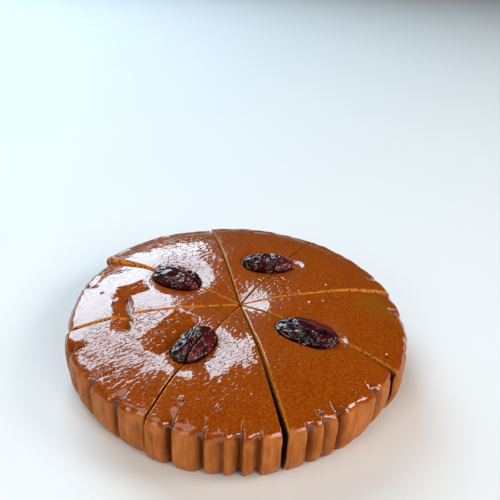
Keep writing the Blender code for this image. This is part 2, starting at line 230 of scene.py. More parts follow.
# Where the set skin is puckered: centre, reach, and how strongly
PUCKERS = (
    Pucker((-50.0 * MM, -35.0 * MM), 24.0 * MM, 1.2),
    Pucker((-28.0 * MM, 48.0 * MM), 19.0 * MM, 0.8),
    Pucker((-4.0 * MM, -40.0 * MM), 16.0 * MM, 0.6),
    Pucker((20.0 * MM, 15.0 * MM), 16.0 * MM, 0.4),
)
PUCKER_EVERYWHERE = 0.12
PUCKER_FADE = (0.6, 1.4)
STREAK_DIRECTION = 35.0
STREAK_LENGTH = 3.6 * MM
STREAK_WIDTH = 1.5 * MM
STREAK_HEIGHT = 0.06 * MM
STREAK_FRACTAL = (1.0, 2.0, 2)    # smoothness, how much finer each octave is, octaves
RIPPLE_END = 1.2               # tilt of the shoulder, in radians, where the ripples end
SWELL_SIZE = 7.0 * MM
SWELL_HEIGHT = 0.09 * MM

# Where the glossy top turns into the matt side: the tilt in radians, how far it wanders,
# how soft it is, and how deep a flute brings it down by one radian
SIDE_BORDER = 0.85
SIDE_BORDER_WANDER = 0.5
SIDE_BORDER_SIZE = 7.0 * MM
SIDE_BORDER_SOFTNESS = 0.3
FLUTE_PER_BORDER = 6.0 * MM

# Depths where a flute and a burst bubble are painted fully dark with shade, and what the side
# takes off the lighter edge at a cut, which is partly painted light
SHADED_FLUTE_DEPTH = 3.4 * MM
SHADED_HOLE_DEPTH = 0.9 * MM
EDGE_LOST_ON_SIDE = 0.6

# Where the noise for each axis of a drift is read, so that the three differ
DRIFT_SHIFTS = ((0.0, 0.0, 0.0), (31.4, 7.9, 2.3), (11.7, 53.1, 5.6))

# How finely the skin is meshed
SKIN_STEP = 0.5 * MM
CUT_COLUMN_CROWDING = 3.0      # how much closer the mesh is beside a cut
CUT_CROWDING_REACH = 1.6 * MM
BASE_RINGS = 4
DATE_TURNS = 160
DATE_SLICES = 110
SPIN_ANGLE = 1.0               # a wedge is turned through this angle, and then spread
MERGE_DISTANCE = 1e-6

# Each wedge's edges at its first and its last cut: the skin's radius there, how wide the bare
# edge is, which shows crumb and is painted lighter as painted light, and how much painted light the crumb
# below it gets
EDGES = (
    (Edge(0.4 * MM, 0.7 * MM, 1.0), Edge(0.4 * MM, 0.2 * MM, 0.1)),
    (Edge(0.4 * MM, 0.2 * MM, 0.1), Edge(0.4 * MM, 0.8 * MM, 0.8)),
    (Edge(0.8 * MM, 0.2 * MM, 0.0), Edge(0.4 * MM, 0.8 * MM, 1.0)),
    (Edge(0.4 * MM, 0.2 * MM, 0.2), Edge(0.4 * MM, 1.0 * MM, 0.9)),
    (Edge(0.4 * MM, 0.3 * MM, 0.0), Edge(1.0 * MM, 0.2 * MM, 0.0)),
    (Edge(0.5 * MM, 1.3 * MM, 0.3), Edge(0.4 * MM, 0.2 * MM, 0.0)),
    (Edge(0.7 * MM, 1.0 * MM, 0.7), Edge(0.4 * MM, 0.3 * MM, 0.1)),
    (Edge(0.4 * MM, 0.8 * MM, 0.8), Edge(0.4 * MM, 0.3 * MM, 0.1)),
)
EDGE_UNEVENNESS = 0.45         # share that an edge's radius varies by
EDGE_UNEVENNESS_SIZE = 4.0 * MM
DATE_CUT_ROUNDING = 0.5 * MM

# Sizes of the patterns in the materials. Real pores are about half a millimetre wide, and
# are drawn coarser so that they show in a picture of the whole cake.
SKIN_CLOUD_SIZE = 14.0 * MM
SKIN_SPECK_SIZE = 1.2 * MM
SKIN_WRINKLE_SIZE = 1.7 * MM
SKIN_WRINKLE_HEIGHT = 0.28 * MM
SKIN_WRINKLE_STRETCH = 1.8
SIDE_RUB_SIZE = 2.5 * MM
SIDE_RUB_STRETCH = 4.0
EDGE_PORE_SIZE = 1.8 * MM
CRUMB_PORE_SIZE = 1.9 * MM
CRUMB_PORE_DEPTH = 0.5 * MM
# Heights below which the crumb in a cut is painted fully in shade, and above which it is painted fully lit
CRUMB_SHADED_BELOW = 24.0 * MM
CRUMB_LIT_ABOVE = 29.5 * MM
DATE_CLOUD_SIZE = 6.0 * MM
DATE_GRAIN_SIZE = 1.5 * MM
FLESH_FIBRE_SIZE = 0.8 * MM
GRAIN_HEIGHT = 0.2 * MM
OLIVE_STAIN = (74.2 * MM, 2.6 * MM, 30.0 * MM)
STAIN_REACH = 16.0 * MM
STAIN_HEART = 2.0 * MM
LIGHT_DEPTH = 2.0 * MM         # how deep light gets into the cake

# Camera, worked out from the ellipse of the rim: 44.8 mm lens on a 36 mm wide sensor
LENS = 44.8
SENSOR_WIDTH = 36.0
CAMERA_PLACE = Vector((0.0, -267.780 * MM, 226.178 * MM)) - BOX_CENTRE
CAMERA_RIGHT = Vector((0.9992631, 0.00342288, 0.03823012))
CAMERA_UP = Vector((-0.03447879, 0.51771625, 0.85485736))
CAMERA_AHEAD = Vector((0.01686628, 0.85554554, -0.51745276))

FLOOR_HALF_SIZE = 3.0
ROOM_LIGHT = 0.03


def linear(hex_colour):
    """Turn an sRGB colour such as 964400 into the linear one that a shader takes."""
    channels = [int(hex_colour[place:place + 2], 16) / 255.0 for place in (0, 2, 4)]
    straight = [
        value / 12.92 if value <= 0.04045 else ((value + 0.055) / 1.055) ** 2.4 for value in channels]
    return (*straight, 1.0)


def smooth_step(low, high, value):
    """Rise from 0 at low to 1 at high, with soft ends."""
    share = min(max((value - low) / (high - low), 0.0), 1.0)
    return share * share * (3.0 - 2.0 * share)


def drift(spot):
    """A vector that wanders smoothly with the place, and is the same in every run."""
    return Vector([noise.noise(spot + Vector(shift)) for shift in DRIFT_SHIFTS])


def turn_between(first, second):
    """Signed angle in degrees from the second direction to the first."""
    return (first - second + 180.0) % 360.0 - 180.0


def place_flutes():
    """List every flute round the side: the main ones, and smaller ones between them."""
    draw = random.Random(FLUTE_SEED)
    flutes = list(MAIN_FLUTES)
    step = math.degrees(FLUTE_SPACING / CAKE_RADIUS)
    clearance = math.degrees(FLUTE_CLEARANCE / CAKE_RADIUS)
    direction = 0.0
    while direction < 360.0 - clearance:
        direction += step * draw.uniform(*SPACING_DRAW)
        depth = FLUTE_DEPTH * draw.uniform(*DEPTH_DRAW)
        top = FLUTE_TOP * draw.uniform(*TOP_DRAW)
        smooth = SMOOTH_STRETCH[0] < direction < SMOOTH_STRETCH[1]
        crowded = any(abs(turn_between(direction, main.direction)) < clearance for main in MAIN_FLUTES)
        if not smooth and not crowded:
            flutes.append(Flute(direction, depth, top))
    return flutes


FLUTES = place_flutes()


def flutes_at(direction):
    """List the depth and the top of each flute that is felt in a direction."""
    felt = []
    for flute in FLUTES:
        along = math.radians(turn_between(direction, flute.direction)) * CAKE_RADIUS
        gentle = (along < 0.0) == (flute.direction < FLUTES_TURN_AT)
        side = FLUTE_GENTLE_SIDE if gentle else FLUTE_STEEP_SIDE
        if abs(along) < FLUTE_REACH * side:
            felt.append((flute.depth * math.exp(-(along / side) ** 2), flute.top))
    return felt


def flute_depth(felt, height):
    """How far the flutes that are felt pull the side in, at a height."""
    depth = 0.0
    for deepest, top in felt:
        depth = max(depth, deepest * (1.0 - smooth_step(top - FLUTE_FADE, top + FLUTE_FADE, height)))
    return depth


def dish_depth(x, y):
    """How far the top is pressed in round the dates."""
    depth = 0.0
    for date in DATES:
        away = math.hypot(x - date.centre[0], y - date.centre[1]) - date.length / 4.0
        if away < DISH_REACH * DISH_WIDTH:
            depth += DISH_DEPTH * math.exp(-(max(away, 0.0) / DISH_WIDTH) ** 2)
    return depth


def fold_depth(x, y):
    """How far the folds in the top go in."""
    depth = 0.0
    wobble = FOLD_WOBBLE * drift(Vector((x, y, 0.0)) / FOLD_WOBBLE_SIZE)
    for fold in FOLDS:
        turn = math.radians(fold.direction)
        offset = Vector((x + wobble.x - fold.centre[0], y + wobble.y - fold.centre[1]))
        across = (offset.x * math.cos(turn) + offset.y * math.sin(turn)) / fold.half_width
        along = (offset.y * math.cos(turn) - offset.x * math.sin(turn)) / fold.half_length
        across += FOLD_BOW * along * along
        if abs(across) > FOLD_REACH or abs(along) > FOLD_REACH:
            continue
        ramp = min(max((across - FOLD_RAMP_START) / FOLD_RAMP_LENGTH, 0.0), 1.0)
        ramp *= 1.0 - smooth_step(1.0 - FOLD_STEEPNESS, FOLD_BRIM, across)
        depth = max(depth, fold.depth * ramp * (1.0 - smooth_step(*FOLD_ENDS, abs(along))))
    return depth


def pit_depth(x, y):
    """How far the burst bubbles go in, less the lip of skin round them, and how far any that
    has a lip goes in."""
    depth = 0.0
    hole = 0.0
    for pit in PITS:
        away = math.hypot(x - pit.centre[0], y - pit.centre[1]) / pit.radius
        if away < PIT_REACH:
            burst = pit.depth * (1.0 - smooth_step(*PIT_WALL, away))
            depth += burst - pit.lip * math.exp(-((away - PIT_LIP_PLACE) / PIT_LIP_WIDTH) ** 2)
            if pit.lip > 0.0:
                hole = max(hole, burst)
    return depth, hole


def crinkle_at(x, y):
    """How strongly the skin is puckered at a place."""
    strength = PUCKER_EVERYWHERE
    for pucker in PUCKERS:
        away = math.hypot(x - pucker.centre[0], y - pucker.centre[1]) / pucker.reach
        strength = max(strength, pucker.strength * (1.0 - smooth_step(*PUCKER_FADE, away)))
    return strength


def skin_ripple(x, y, pucker):
    """Height of the small waves in the set skin, which run in streaks where it is puckered."""
    turn = math.radians(STREAK_DIRECTION)
    along = (x * math.cos(turn) + y * math.sin(turn)) / STREAK_LENGTH
    aside = (y * math.cos(turn) - x * math.sin(turn)) / STREAK_WIDTH
    streak = noise.fractal(Vector((along, aside, 0.0)), *STREAK_FRACTAL)
    swell = noise.noise(Vector((x, y, 0.0)) / SWELL_SIZE)
    return STREAK_HEIGHT * pucker * streak + SWELL_HEIGHT * swell


def cake_height(x, y, share):
    """Height that the smooth top adds to a level rim, at a place and its share of the radius."""
    crown = CROWN * math.sin(math.pi * min(share / CROWN_END, 1.0))
    sag = MIDDLE_SAG * math.exp(-(share * CAKE_RADIUS / MIDDLE_SAG_REACH) ** 2)
    wander = TOP_WANDER * noise.noise(Vector((x, y, 0.0)) / TOP_WANDER_SIZE)
    return crown + wander - sag - dish_depth(x, y)


def date_middle_height(date):
    """Height of the middle of a date."""
    share = math.hypot(*date.centre) / CAKE_RADIUS
    return RIM_HEIGHT + cake_height(*date.centre, share) + DISH_DEPTH - DATE_SINK


DATE_HEIGHTS = [date_middle_height(date) for date in DATES]


def under_date(x, y, height):
    """Lower the top to the hollow that a date lies in."""
    for date, middle in zip(DATES, DATE_HEIGHTS):
        turn = math.radians(date.direction)
        east, north = x - date.centre[0], y - date.centre[1]
        along = (east * math.cos(turn) + north * math.sin(turn)) / (date.length / 2.0)
        aside = (north * math.cos(turn) - east * math.sin(turn)) / (date.width / 2.0)
        inside = 1.0 - abs(along) ** DATE_BLUNTNESS - aside ** 2
        if inside > 0.0:
            height = min(height, middle - date.height / 2.0 * math.sqrt(inside))
    return height


def half_section(tip):
    """Rings of the round's profile from the tip of a wedge, over the rim, to under its tip."""
    rings = []
    flat = CAKE_RADIUS - SHOULDER_WIDTH
    edge_height = RIM_HEIGHT - EDGE_DROP
    top_rings = round((flat - tip) / SKIN_STEP)
    for ring in range(top_rings):
        radius = tip + (flat - tip) * ring / top_rings
        fallen = max(radius / flat - DROP_START, 0.0) / (1.0 - DROP_START)
        rings.append(Ring(radius, RIM_HEIGHT - EDGE_DROP * fallen ** 2, 0.0))
    rise = edge_height - WALL_TOP
    shoulder_rings = round(math.pi / 2.0 * math.sqrt(SHOULDER_WIDTH * rise) / SKIN_STEP)
    for ring in range(shoulder_rings):
        turn = math.pi / 2.0 * (1.0 - ring / shoulder_rings)
        radius = flat + SHOULDER_WIDTH * math.cos(turn)
        rings.append(Ring(radius, WALL_TOP + rise * math.sin(turn), math.pi / 2.0 - turn))
    wall_rings = round((WALL_TOP - BELLY_HEIGHT) / SKIN_STEP)
    for ring in range(wall_rings):
        height = WALL_TOP + (BELLY_HEIGHT - WALL_TOP) * ring / wall_rings
        rings.append(Ring(CAKE_RADIUS, height, math.pi / 2.0))
    belly_rings = round(BELLY_HEIGHT / SKIN_STEP)
    for ring in range(belly_rings + 1):
        share = ring / belly_rings
        inward = (CAKE_RADIUS - BASE_RADIUS) * share ** 2
        rings.append(Ring(CAKE_RADIUS - inward, BELLY_HEIGHT * (1.0 - share), math.pi / 2.0))
    for ring in range(1, BASE_RINGS + 1):
        share = ring / BASE_RINGS
        rings.append(Ring(BASE_RADIUS + (tip - BASE_RADIUS) * share, 0.0, math.pi))
    return rings


def column_places(width):
    """Shares of the way across a wedge for its columns, closer together beside the cuts."""
    places = [0.0]
    gone = 0.0
    while gone < width:
        to_cut = min(gone, width - gone)
        gone += SKIN_STEP / (1.0 + CUT_COLUMN_CROWDING * math.exp(-to_cut / CUT_CROWDING_REACH))
        places.append(gone)
    return [place / places[-1] for place in places]


def cut_spread(cut):
    """Half the angle by which a cut widens from the middle to the rim."""
    return math.asin((cut.rim_gap - MIDDLE_GAP) / 2.0 / CAKE_RADIUS)


def cut_plane(index, side):
    """Point on, and normal of, one face of a cut. The side is 1 for the face towards
    larger angles and -1 for the other, and the normal points away from the cut."""
    cut = CUTS[index % len(CUTS)]
    heading = math.radians(cut.direction) + side * cut_spread(cut)
    normal = side * Vector((-math.sin(heading), math.cos(heading), 0.0))
    point = CUT_MEETING_POINT - BOX_CENTRE + normal * MIDDLE_GAP / 2.0
    return point, normal


def rounding_sink(distance, radius):
    """How far a rounded edge of a given radius lies below the corner that it replaces."""
    if distance >= radius:
        return 0.0
    return radius - math.sqrt(max(radius ** 2 - (radius - distance) ** 2, 0.0))


def wedge_column(number, across):
    """What the points of one column of a wedge have in common, at its share of the way across."""
    wedge = WEDGES[number]
    first_cut = CUTS[number]
    last_cut = CUTS[(number + 1) % len(CUTS)]
    turn_across = turn_between(last_cut.direction, first_cut.direction)
    direction = first_cut.direction + turn_across * across
    heading = math.radians(direction)
    ahead = Vector((math.cos(heading), math.sin(heading), 0.0))
    wander = OUTLINE_WANDER * noise.noise((ahead + OUTLINE_WANDER_SHIFT) * OUTLINE_WANDER_FINENESS)
    return Column(
        across,
        math.radians(first_cut.direction) + cut_spread(first_cut),
        math.radians(first_cut.direction + turn_across) - cut_spread(last_cut),
        CAKE_RADIUS - CUT_MEETING_POINT.dot(ahead),
        wander + wedge.out_first + (wedge.out_last - wedge.out_first) * across,
        wedge.up_first + (wedge.up_last - wedge.up_first) * across,
        flutes_at(direction),
        EDGES[number][round(across)])


def wedge_point(vertex, ring, column, layers):
    """Place one point of a wedge's skin, and note how the skin looks there."""
    share = ring.radius / CAKE_RADIUS
    level = ring.height / RIM_HEIGHT
    pulled_in = 0.0
    if share > FLUTE_START and column.flutes:
        pulled_in = flute_depth(column.flutes, ring.height)
        pulled_in *= smooth_step(FLUTE_START, FLUTE_FULL, share)
    radius = (column.circle + column.stand_out * share ** 2) * share

    half_gap = math.asin(min(MIDDLE_GAP / 2.0 / radius, 1.0))
    low = column.first_side + half_gap
    high = max(column.last_side - half_gap, low)
    heading = low + (high - low) * column.across
    from_cut = max(radius * min(math.sin(heading - low), math.sin(high - heading)), 0.0)
    cosine, sine = math.cos(heading), math.sin(heading)
    sink = 0.0
    if from_cut < 2.0 * column.edge.rounding and ring.height > 0.0:
        spot = Vector((radius * cosine, radius * sine, ring.height))
        unevenness = EDGE_UNEVENNESS * noise.noise(spot / EDGE_UNEVENNESS_SIZE)
        sink = rounding_sink(from_cut, column.edge.rounding * (1.0 + unevenness))
    lump = 0.0
    if share > FLUTE_START:
        spot = Vector((radius * cosine, radius * sine, ring.height * LUMP_TALLNESS)) / LUMP_SIZE
        lump = LUMP_DEPTH * (0.5 + 0.5 * noise.noise(spot)) * smooth_step(FLUTE_START, 1.0, share)
    radius -= (pulled_in + lump + sink) * math.sin(ring.tilt)
    x = radius * cosine + CUT_MEETING_POINT.x
    y = radius * sine + CUT_MEETING_POINT.y
    height = ring.height
    fold = fold_depth(x, y)
    dent, hole = pit_depth(x, y)
    pucker = crinkle_at(x, y) * (1.0 - smooth_step(*SMOOTH_IN_FOLD, fold))
    if ring.height > 0.0:
        relief = cake_height(x, y, share)
        if ring.tilt < RIPPLE_END:
            relief += skin_ripple(x, y, pucker) - fold - dent
        height += (relief + column.stand_up * share ** 3) * level
        height -= (pulled_in + lump + sink) * math.cos(ring.tilt)
        if ring.tilt == 0.0:
            height = under_date(x, y, height)
    vertex.co = Vector((x, y, height)) - BOX_CENTRE
    wander = SIDE_BORDER_WANDER * noise.noise(Vector((x, y, height)) / SIDE_BORDER_SIZE)
    border = SIDE_BORDER + wander + pulled_in / FLUTE_PER_BORDER
    vertex[layers["side"]] = smooth_step(
        border - SIDE_BORDER_SOFTNESS, border + SIDE_BORDER_SOFTNESS, ring.tilt)
    # The bare edge at a cut is lighter: partly the crumb's own colour showing, partly painted light where
    # each edge catches the light.
    glow = 1.0 - smooth_step(0.0, column.edge.glow, from_cut)
    vertex[layers["edge"]] = glow * (1.0 - EDGE_LOST_ON_SIDE * vertex[layers["side"]])
    # Painted shade: darkness in the flutes and in burst bubbles, growing with their depth.
    vertex[layers["groove_shade"]] = min(max(pulled_in / SHADED_FLUTE_DEPTH, hole / SHADED_HOLE_DEPTH), 1.0)
    vertex[layers["crinkle"]] = pucker
    # Share of painted light for the crumb in the cut beside this wedge.
    vertex[layers["light"]] = column.edge.light


def make_wedge(number, skin, crumb):
    """Turn, shape and cap one wedge of the cake."""
    first_cut = CUTS[number]
    last_cut = CUTS[(number + 1) % len(CUTS)]
    angle = math.radians(turn_between(last_cut.direction, first_cut.direction))
    opening = angle - cut_spread(first_cut) - cut_spread(last_cut)
    tip = MIDDLE_GAP / 2.0 / math.sin(opening / 2.0)
    rings = half_section(tip)
    columns = [wedge_column(number, across) for across in column_places(angle * CAKE_RADIUS)]

    mesh = bmesh.new()
    ring_of = mesh.verts.layers.int.new("ring")
    layers = {
        name: mesh.verts.layers.float.new(name)
        for name in ("side", "edge", "groove_shade", "crinkle", "light")}
    section = []
    for index, ring in enumerate(rings):
        vertex = mesh.verts.new((ring.radius, 0.0, ring.height))
        vertex[ring_of] = index
        section.append(vertex)
    for upper, lower in zip(section, section[1:]):
        mesh.edges.new((upper, lower))
    bmesh.ops.spin(
        mesh, geom=mesh.verts[:] + mesh.edges[:], cent=(0.0, 0.0, 0.0), axis=(0.0, 0.0, 1.0),
        angle=SPIN_ANGLE, steps=len(columns) - 1)
    for vertex in mesh.verts:
        turned = round(math.atan2(vertex.co.y, vertex.co.x) / SPIN_ANGLE * (len(columns) - 1))
        wedge_point(vertex, rings[vertex[ring_of]], columns[turned], layers)
    bmesh.ops.remove_doubles(mesh, verts=mesh.verts[:], dist=MERGE_DISTANCE)
    for face in mesh.faces:
        face.smooth = True

    tip_heads = [vertex for vertex in mesh.verts if vertex[ring_of] == 0]
    tip_feet = [vertex for vertex in mesh.verts if vertex[ring_of] == len(rings) - 1]
    mesh.edges.new((tip_heads[0], tip_feet[0]))
    fill_cut_faces(mesh)
    return finish_piece(
        f"cake_wedge_{number + 1}", mesh, (skin, crumb), f"wedge_{number + 1}")


def fill_cut_faces(mesh):
    """Close the sides that the knife opened, with the material of the inside."""
    outside = set(mesh.faces)
    open_edges = [edge for edge in mesh.edges if edge.is_boundary or edge.is_wire]
    bmesh.ops.edgenet_fill(mesh, edges=open_edges)
    for face in mesh.faces:
        if face not in outside:
            face.material_index = 1
    bmesh.ops.recalc_face_normals(mesh, faces=mesh.faces[:])


def finish_piece(name, mesh, materials, node):
    """Turn a bmesh into a piece that stands for a node of the solids."""
    data = bpy.data.meshes.new(name)
    mesh.to_mesh(data)
    mesh.free()
    for material in materials:
        data.materials.append(material)
    piece = bpy.data.objects.new(name, data)
    bpy.context.scene.collection.objects.link(piece)
    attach(piece, "root")
    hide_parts(node)
    return piece


def date_wrinkle(along, turn, seed, smoothness):
    """Share of its radius that a date's skin sinks at a place along it and round it."""
    spot = Vector((along * WRINKLE_STRETCH, math.cos(turn) + seed, math.sin(turn)))
    bent = spot + WRINKLE_BEND * drift(spot * WRINKLE_BEND_FINENESS)
    near, far = noise.voronoi(bent * PLUMP_CELLS.fineness)[0][:2]
    plump = 1.0 - math.exp(-(far - near) * PLUMP_CELLS.sharpness)
    fold = abs(noise.noise(bent * LONG_FOLDS.fineness + LONG_FOLD_SHIFT))
    crease = abs(noise.noise(bent * SMALL_CREASES.fineness))
    deep = PLUMP_CELLS.depth * (1.0 - plump)
    deep += LONG_FOLDS.depth * math.exp(-fold * LONG_FOLDS.sharpness)
    deep += SMALL_CREASES.depth * math.exp(-crease * SMALL_CREASES.sharpness)
    return deep * (1.0 - SMOOTH_SHARE * smoothness)


def make_date_half(number, side, skin, flesh):
    """One half of a wrinkled date, cut off flush with the knife cut."""
    date = DATES[number]
    rise = date.second_rise if side > 0 else date.first_rise
    red = date.second_red if side > 0 else date.first_red
    seed = DATE_SEED * number
    half = Vector((date.length / 2.0, date.width / 2.0, date.height / 2.0))
    mesh = bmesh.new()
    redness = mesh.verts.layers.float.new("redness")
    bmesh.ops.create_uvsphere(mesh, u_segments=DATE_TURNS, v_segments=DATE_SLICES, radius=1.0)
    bmesh.ops.rotate(
        mesh, verts=mesh.verts[:], cent=(0.0, 0.0, 0.0), matrix=Matrix.Rotation(math.pi / 2.0, 3, "Y"))
    for vertex in mesh.verts:
        along = vertex.co.x
        circle = math.hypot(vertex.co.y, vertex.co.z)
        turn = math.atan2(vertex.co.z, vertex.co.y)
        girth = 0.0
        if circle > POLE_SIZE:
            girth = max(1.0 - abs(along) ** DATE_BLUNTNESS, 0.0) ** 0.5 / circle
        girth *= 1.0 - date_wrinkle(along, turn, seed, red)
        lift = rise if vertex.co.z > 0.0 else 1.0
        vertex.co = Vector((
            along * half.x, vertex.co.y * girth * half.y, vertex.co.z * girth * half.z * lift))
    turned = Matrix.Rotation(math.radians(date.direction), 3, "Z")
    bmesh.ops.rotate(mesh, verts=mesh.verts[:], cent=(0.0, 0.0, 0.0), matrix=turned)
    middle = Vector((*date.centre, DATE_HEIGHTS[number])) - BOX_CENTRE
    bmesh.ops.translate(mesh, verts=mesh.verts[:], vec=middle)
    for face in mesh.faces:
        face.smooth = True
    point, normal = cut_plane(date.cut, side)
    everything = mesh.verts[:] + mesh.edges[:] + mesh.faces[:]
    bmesh.ops.bisect_plane(
        mesh, geom=everything, dist=MERGE_DISTANCE, plane_co=point, plane_no=normal, clear_inner=True)
    for vertex in mesh.verts:
        vertex[redness] = red
        sink = rounding_sink((vertex.co - point).dot(normal), DATE_CUT_ROUNDING)
        outward = vertex.co - middle
        outward -= normal * outward.dot(normal)
        if outward.length > sink:
            vertex.co -= outward.normalized() * sink
    fill_cut_faces(mesh)
    name = "second" if side > 0 else "first"
    return finish_piece(
        f"dried_date_{number + 1}_{name}", mesh, (skin, flesh), f"date_{number + 1}_{name}")


def start_material(name):
    """Make a material and hand back its node tree and its shader."""
    material = bpy.data.materials.new(name)
    material.use_nodes = True
    tree = material.node_tree
    return material, tree, tree.nodes["Principled BSDF"]


def add_node(tree, kind, settings=None, values=None, links=None):
    """Add a node with its settings, the values of its sockets, and what feeds them."""
    node = tree.nodes.new(kind)
    for name, setting in (settings or {}).items():
        setattr(node, name, setting)
    for socket, value in (values or {}).items():
        node.inputs[socket].default_value = value
    for socket, source in (links or {}).items():
        tree.links.new(source, node.inputs[socket])
    return node


def mix_colours(tree, share, first, second):
    """Blend from one colour to another by a share. Each colour is a value or a socket."""
    mixed = add_node(tree, "ShaderNodeMix", {"data_type": "RGBA"}, links={"Factor": share})
    for socket, colour in (("A", first), ("B", second)):
        place = next(entry for entry in mixed.inputs if entry.name == socket and entry.type == "RGBA")
        if isinstance(colour, tuple):
            place.default_value = colour
        else:
            tree.links.new(colour, place)
    return next(entry for entry in mixed.outputs if entry.type == "RGBA")


def make_skin_material():
    """Steamed rice batter with brown sugar. The wet starch on top has set to a clear gloss
    like caramel, and the side that stood against the pleated case is matt and paler."""
    material, tree, shader = start_material("set_caramel_skin")
    place = add_node(tree, "ShaderNodeTexCoord").outputs["Object"]
    side, edge, groove_shade = [
        add_node(tree, "ShaderNodeAttribute", {"attribute_name": name}).outputs["Fac"]
        for name in ("side", "edge", "groove_shade")]
    pucker = add_node(tree, "ShaderNodeAttribute", {"attribute_name": "crinkle"}).outputs["Fac"]
    cloud = add_node(
        tree, "ShaderNodeTexNoise", values={"Scale": 1.0 / SKIN_CLOUD_SIZE, "Detail": 3.0},
        links={"Vector": place})
    speck = add_node(
        tree, "ShaderNodeTexNoise", values={"Scale": 1.0 / SKIN_SPECK_SIZE, "Detail": 2.0},
        links={"Vector": place})
    speck_share = add_node(
        tree, "ShaderNodeMapRange", values={"From Min": 0.45, "From Max": 0.75, "To Max": 0.4},
        links={"Value": speck.outputs["Fac"]})
    colour = mix_colours(tree, cloud.outputs["Fac"], linear("803000"), linear("924000"))
    colour = mix_colours(tree, speck_share.outputs["Result"], colour, linear("B46A14"))
    freckle_share = add_node(
        tree, "ShaderNodeMapRange", values={"From Min": 0.42, "From Max": 0.25, "To Max": 0.5},
        links={"Value": speck.outputs["Fac"]})
    colour = mix_colours(tree, freckle_share.outputs["Result"], colour, linear("5A2400"))
    off_stain = add_node(
        tree, "ShaderNodeVectorMath", {"operation": "DISTANCE"}, {1: OLIVE_STAIN}, {0: place})
    stain_share = add_node(
        tree, "ShaderNodeMapRange", {"interpolation_type": "SMOOTHSTEP"},
        {"From Min": STAIN_REACH, "From Max": STAIN_HEART, "To Max": 0.5},
        {"Value": off_stain.outputs["Value"]})
    colour = mix_colours(tree, stain_share.outputs["Result"], colour, linear("7A5408"))
    upright = add_node(
        tree, "ShaderNodeMapping", {"vector_type": "TEXTURE"},
        {"Scale": (1.0, 1.0, SIDE_RUB_STRETCH)}, {"Vector": place})
    rub = add_node(
        tree, "ShaderNodeTexNoise", values={"Scale": 1.0 / SIDE_RUB_SIZE, "Detail": 3.0},
        links={"Vector": upright.outputs["Vector"]})
    rub_share = add_node(
        tree, "ShaderNodeMapRange", values={"From Min": 0.35, "From Max": 0.7},
        links={"Value": rub.outputs["Fac"]})
    wall = mix_colours(tree, rub_share.outputs["Result"], linear("BA7038"), linear("9C5418"))
    colour = mix_colours(tree, side, colour, wall)
    # Painted shade in the flutes and burst bubbles.
    colour = mix_colours(tree, groove_shade, colour, linear("642E08"))
    holes = add_node(
        tree, "ShaderNodeTexVoronoi", values={"Scale": 1.0 / EDGE_PORE_SIZE}, links={"Vector": place})
    # The pores of the bare edge are painted dark: painted shade inside the holes.
    hollow = add_node(
        tree, "ShaderNodeMapRange", values={"From Min": 0.2, "From Max": 0.4},
        links={"Value": holes.outputs["Distance"]})
    lit_bare_edge = mix_colours(tree, hollow.outputs["Result"], linear("4A2206"), linear("C4741A"))
    # Bare edge at the cuts: crumb colour, brightened by painted light.
    colour = mix_colours(tree, edge, colour, lit_bare_edge)
    tree.links.new(colour, shader.inputs["Base Color"])
    bare = add_node(tree, "ShaderNodeMath", {"operation": "MAXIMUM"}, links={0: side, 1: edge})
    gloss = add_node(
        tree, "ShaderNodeMapRange", values={"To Min": 1.0, "To Max": 0.1},
        links={"Value": bare.outputs["Value"]})
    tree.links.new(gloss.outputs["Result"], shader.inputs["Coat Weight"])
    rough = add_node(
        tree, "ShaderNodeMapRange", values={"To Min": 0.3, "To Max": 0.5}, links={"Value": side})
    tree.links.new(rough.outputs["Result"], shader.inputs["Roughness"])
    streaked = add_node(
        tree, "ShaderNodeMapping", {"vector_type": "TEXTURE"},
        {"Rotation": (0.0, 0.0, math.radians(STREAK_DIRECTION)), "Scale": (SKIN_WRINKLE_STRETCH, 1.0, 1.0)},
        {"Vector": place})
    wrinkle = add_node(
        tree, "ShaderNodeTexNoise", values={"Scale": 1.0 / SKIN_WRINKLE_SIZE, "Detail": 0.0},
        links={"Vector": streaked.outputs["Vector"]})
    step = add_node(
        tree, "ShaderNodeMapRange", {"interpolation_type": "SMOOTHSTEP"},
        {"From Min": 0.43, "From Max": 0.57}, {"Value": wrinkle.outputs["Fac"]})
    raised = add_node(
        tree, "ShaderNodeMath", {"operation": "MULTIPLY"}, links={0: step.outputs["Result"], 1: pucker})
    bump = add_node(
        tree, "ShaderNodeBump", values={"Strength": 1.0, "Distance": SKIN_WRINKLE_HEIGHT},
        links={"Height": raised.outputs["Value"]})
    tree.links.new(bump.outputs["Normal"], shader.inputs["Normal"])
    tree.links.new(bump.outputs["Normal"], shader.inputs["Coat Normal"])
    shader.inputs["IOR"].default_value = 1.45
    shader.inputs["Specular IOR Level"].default_value = 0.05
    shader.inputs["Coat Roughness"].default_value = 0.04
    shader.inputs["Coat IOR"].default_value = 1.6
    shader.inputs["Subsurface Weight"].default_value = 0.1
    shader.inputs["Subsurface Radius"].default_value = (1.0, 0.35, 0.08)
    shader.inputs["Subsurface Scale"].default_value = LIGHT_DEPTH
    return material


